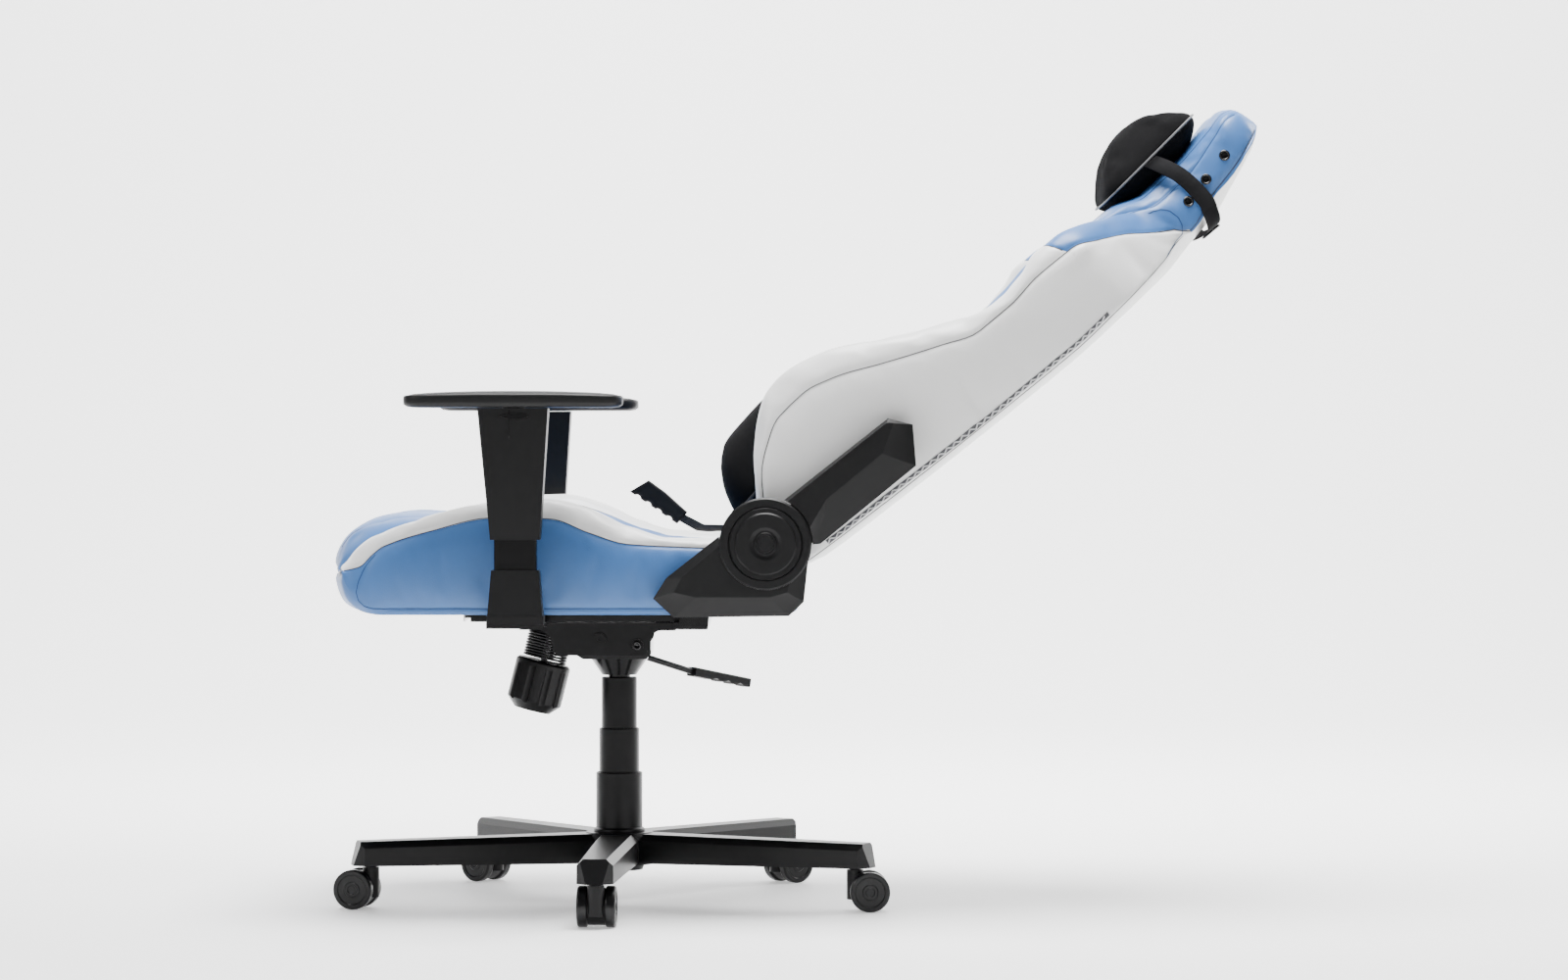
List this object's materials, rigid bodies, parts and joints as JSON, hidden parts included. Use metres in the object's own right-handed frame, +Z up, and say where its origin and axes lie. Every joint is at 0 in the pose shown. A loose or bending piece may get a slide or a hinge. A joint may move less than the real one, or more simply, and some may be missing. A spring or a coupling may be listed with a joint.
{
  "type": "gaming chair",
  "caption": "Racing-style gaming chair: reclining winged back with pillows, bolstered seat, adjustable arms, gas lift and a star base on casters.",
  "frame": {"origin": "on the floor, under the axis of the gas column", "axes": "+Z up, the chair faces -Y, +X is the sitter's left; stored with the back fully reclined and the seat at its highest"},
  "size_m": [0.6801, 1.161, 1.0045],
  "materials": {
    "black_nylon": "satin",
    "black_plastic": "matte",
    "black_painted_steel": "gloss",
    "bright_steel": "satin",
    "spring_steel": "satin",
    "caster_tread": "satin",
    "soft_pad": "matte",
    "blue_leatherette": "satin",
    "black_fabric": "matte",
    "elastic_webbing": "matte"
  },
  "bodies": {
    "base": {"star_base": "black_nylon", "column_tube": "black_painted_steel", "cover_lower": "black_nylon"},
    "middle_cover": {"cover_middle": "black_nylon"},
    "rod": {"piston_rod": "bright_steel"},
    "mechanism": {"gas_cylinder": "black_painted_steel", "cover_upper": "black_nylon", "tilt_housing": "black_painted_steel", "tension_spring": "spring_steel"},
    "lock": {"lock_slider": "black_nylon"},
    "height_lever": {"height_lever": "spring_steel", "height_lever_grip": "black_nylon"},
    "seat": {"seat_plate": "black_painted_steel", "tilt_pivot_pin": "bright_steel", "tension_bolt": "bright_steel", "seat_pan": "black_painted_steel", "seat_cushion": "blue_leatherette", "recline_bracket": "black_painted_steel", "hinge_pins": "bright_steel", "hinge_cover_left": "black_plastic", "hinge_cover_right": "black_plastic", "hinge_cap_left": "black_plastic", "hinge_cap_right": "black_plastic", "arm_bracket_left": "black_painted_steel", "arm_bracket_right": "black_painted_steel", "arm_foot_left": "black_plastic", "arm_foot_right": "black_plastic"},
    "knob": {"tension_knob": "black_nylon"},
    "back": {"back_frame": "black_painted_steel", "back_cushion": "blue_leatherette", "back_arm_cover_left": "black_plastic", "back_arm_cover_right": "black_plastic", "lumbar_pillow": "black_fabric", "head_pillow": "black_fabric", "head_strap": "elastic_webbing"},
    "recline_handle": {"recline_lever": "black_painted_steel", "recline_lever_grip": "black_nylon"},
    "arm_upper_left": {"arm_sleeve_left": "black_plastic"},
    "button_left": {"arm_button_left": "black_nylon"},
    "turntable_left": {"arm_turntable_left": "black_nylon"},
    "pad_left": {"arm_pad_left": "soft_pad"},
    "arm_upper_right": {"arm_sleeve_right": "black_plastic"},
    "button_right": {"arm_button_right": "black_nylon"},
    "turntable_right": {"arm_turntable_right": "black_nylon"},
    "pad_right": {"arm_pad_right": "soft_pad"},
    "caster_1": {"caster_1_frame": "black_nylon"},
    "caster_1_wheel_a": {"caster_1_wheel_a": "caster_tread"},
    "caster_1_wheel_b": {"caster_1_wheel_b": "caster_tread"},
    "caster_2": {"caster_2_frame": "black_nylon"},
    "caster_2_wheel_a": {"caster_2_wheel_a": "caster_tread"},
    "caster_2_wheel_b": {"caster_2_wheel_b": "caster_tread"},
    "caster_3": {"caster_3_frame": "black_nylon"},
    "caster_3_wheel_a": {"caster_3_wheel_a": "caster_tread"},
    "caster_3_wheel_b": {"caster_3_wheel_b": "caster_tread"},
    "caster_4": {"caster_4_frame": "black_nylon"},
    "caster_4_wheel_a": {"caster_4_wheel_a": "caster_tread"},
    "caster_4_wheel_b": {"caster_4_wheel_b": "caster_tread"},
    "caster_5": {"caster_5_frame": "black_nylon"},
    "caster_5_wheel_a": {"caster_5_wheel_a": "caster_tread"},
    "caster_5_wheel_b": {"caster_5_wheel_b": "caster_tread"}
  },
  "joints": [
    {"name": "seat_swivel", "type": "hinge", "parent": "base", "child": "rod", "pos_m": [0, 0, 0.1], "axis": [0, 0, 1], "continuous": true},
    {"name": "seat_lift", "type": "slide", "parent": "rod", "child": "mechanism", "axis": [0, 0, 1], "range_m": [-0.085, 0]},
    {"name": "cover_slide", "type": "slide", "parent": "base", "child": "middle_cover", "axis": [0, 0, 1], "range_m": [-0.0425, 0]},
    {"name": "lock_pull", "type": "slide", "parent": "mechanism", "child": "lock", "axis": [-1, 0, 0], "range_m": [0, 0.012]},
    {"name": "height_lever_lift", "type": "hinge", "parent": "lock", "child": "height_lever", "pos_m": [-0.05, 0.02, 0.311], "axis": [1, 0, 0], "range_deg": [0, 10], "stiffness_Nm_per_rad": 2, "springref_deg": -5.73},
    {"name": "seat_tilt", "type": "hinge", "parent": "mechanism", "child": "seat", "pos_m": [0, -0.022, 0.338], "axis": [-1, 0, 0], "range_deg": [0, 10], "stiffness_Nm_per_rad": 250, "springref_deg": -17.19, "deforming": ["tension_spring"]},
    {"name": "knob_turn", "type": "hinge", "parent": "seat", "child": "knob", "pos_m": [0, -0.096, 0.307], "axis": [0, 0.2419, 0.9703], "range_deg": [-720, 720]},
    {"name": "recline", "type": "hinge", "parent": "seat", "child": "back", "pos_m": [0, 0.1874, 0.4628], "axis": [1, 0, 0], "range_deg": [0, 45]},
    {"name": "recline_lever_lift", "type": "hinge", "parent": "seat", "child": "recline_handle", "pos_m": [0, 0.1874, 0.4628], "axis": [-1, 0, 0], "range_deg": [0, 20], "stiffness_Nm_per_rad": 2, "springref_deg": -17.19},
    {"name": "arm_height_left", "type": "slide", "parent": "seat", "child": "arm_upper_left", "axis": [0, 0, 1], "range_m": [-0.035, 0.045]},
    {"name": "arm_button_press_left", "type": "slide", "parent": "arm_upper_left", "child": "button_left", "axis": [-1, 0, 0], "range_m": [0, 0.003], "stiffness_N_per_m": 400, "springref_m": -0.002},
    {"name": "arm_pad_turn_left", "type": "hinge", "parent": "arm_upper_left", "child": "turntable_left", "pos_m": [0.29, -0.1175, 0.63], "axis": [0, 0, 1], "range_deg": [-25, 25]},
    {"name": "arm_pad_slide_left", "type": "slide", "parent": "turntable_left", "child": "pad_left", "axis": [0, 1, 0], "range_m": [-0.025, 0.025]},
    {"name": "arm_height_right", "type": "slide", "parent": "seat", "child": "arm_upper_right", "axis": [0, 0, 1], "range_m": [-0.035, 0.045]},
    {"name": "arm_button_press_right", "type": "slide", "parent": "arm_upper_right", "child": "button_right", "axis": [1, 0, 0], "range_m": [0, 0.003], "stiffness_N_per_m": 400, "springref_m": -0.002},
    {"name": "arm_pad_turn_right", "type": "hinge", "parent": "arm_upper_right", "child": "turntable_right", "pos_m": [-0.29, -0.1175, 0.63], "axis": [0, 0, 1], "range_deg": [-25, 25]},
    {"name": "arm_pad_slide_right", "type": "slide", "parent": "turntable_right", "child": "pad_right", "axis": [0, 1, 0], "range_m": [-0.025, 0.025]},
    {"name": "caster_1_swivel", "type": "hinge", "parent": "base", "child": "caster_1", "pos_m": [0.31956, -0.01675, 0.06], "axis": [0, 0, 1], "continuous": true},
    {"name": "caster_1_roll_a", "type": "hinge", "parent": "caster_1", "child": "caster_1_wheel_a", "pos_m": [0.30157, -0.01612, 0.025], "axis": [-0.0349, -0.9994, 0], "continuous": true},
    {"name": "caster_1_roll_b", "type": "hinge", "parent": "caster_1", "child": "caster_1_wheel_b", "pos_m": [0.30157, -0.01612, 0.025], "axis": [-0.0349, -0.9994, 0], "continuous": true},
    {"name": "caster_2_swivel", "type": "hinge", "parent": "base", "child": "caster_2", "pos_m": [0.11468, 0.29875, 0.06], "axis": [0, 0, 1], "continuous": true},
    {"name": "caster_2_roll_a", "type": "hinge", "parent": "caster_2", "child": "caster_2_wheel_a", "pos_m": [0.11405, 0.31673, 0.025], "axis": [-0.9994, -0.0349, 0], "continuous": true},
    {"name": "caster_2_roll_b", "type": "hinge", "parent": "caster_2", "child": "caster_2_wheel_b", "pos_m": [0.11405, 0.31673, 0.025], "axis": [-0.9994, -0.0349, 0], "continuous": true},
    {"name": "caster_3_swivel", "type": "hinge", "parent": "base", "child": "caster_3", "pos_m": [-0.24869, 0.20138, 0.06], "axis": [0, 0, 1], "continuous": true},
    {"name": "caster_3_roll_a", "type": "hinge", "parent": "caster_3", "child": "caster_3_wheel_a", "pos_m": [-0.25977, 0.21557, 0.025], "axis": [-0.788, -0.6157, 0], "continuous": true},
    {"name": "caster_3_roll_b", "type": "hinge", "parent": "caster_3", "child": "caster_3_wheel_b", "pos_m": [-0.25977, 0.21557, 0.025], "axis": [-0.788, -0.6157, 0], "continuous": true},
    {"name": "caster_4_swivel", "type": "hinge", "parent": "base", "child": "caster_4", "pos_m": [-0.26837, -0.17428, 0.06], "axis": [0, 0, 1], "continuous": true},
    {"name": "caster_4_roll_a", "type": "hinge", "parent": "caster_4", "child": "caster_4_wheel_a", "pos_m": [-0.27946, -0.18847, 0.025], "axis": [0.788, -0.6157, 0], "continuous": true},
    {"name": "caster_4_roll_b", "type": "hinge", "parent": "caster_4", "child": "caster_4_wheel_b", "pos_m": [-0.27946, -0.18847, 0.025], "axis": [0.788, -0.6157, 0], "continuous": true},
    {"name": "caster_5_swivel", "type": "hinge", "parent": "base", "child": "caster_5", "pos_m": [0.08282, -0.3091, 0.06], "axis": [0, 0, 1], "continuous": true},
    {"name": "caster_5_roll_a", "type": "hinge", "parent": "caster_5", "child": "caster_5_wheel_a", "pos_m": [0.07908, -0.3267, 0.025], "axis": [0.9781, -0.2079, 0], "continuous": true},
    {"name": "caster_5_roll_b", "type": "hinge", "parent": "caster_5", "child": "caster_5_wheel_b", "pos_m": [0.07908, -0.3267, 0.025], "axis": [0.9781, -0.2079, 0], "continuous": true}
  ],
  "couplings": [
    {"joint": "cover_slide", "follows": "seat_lift", "ratio": 0.5}
  ]
}
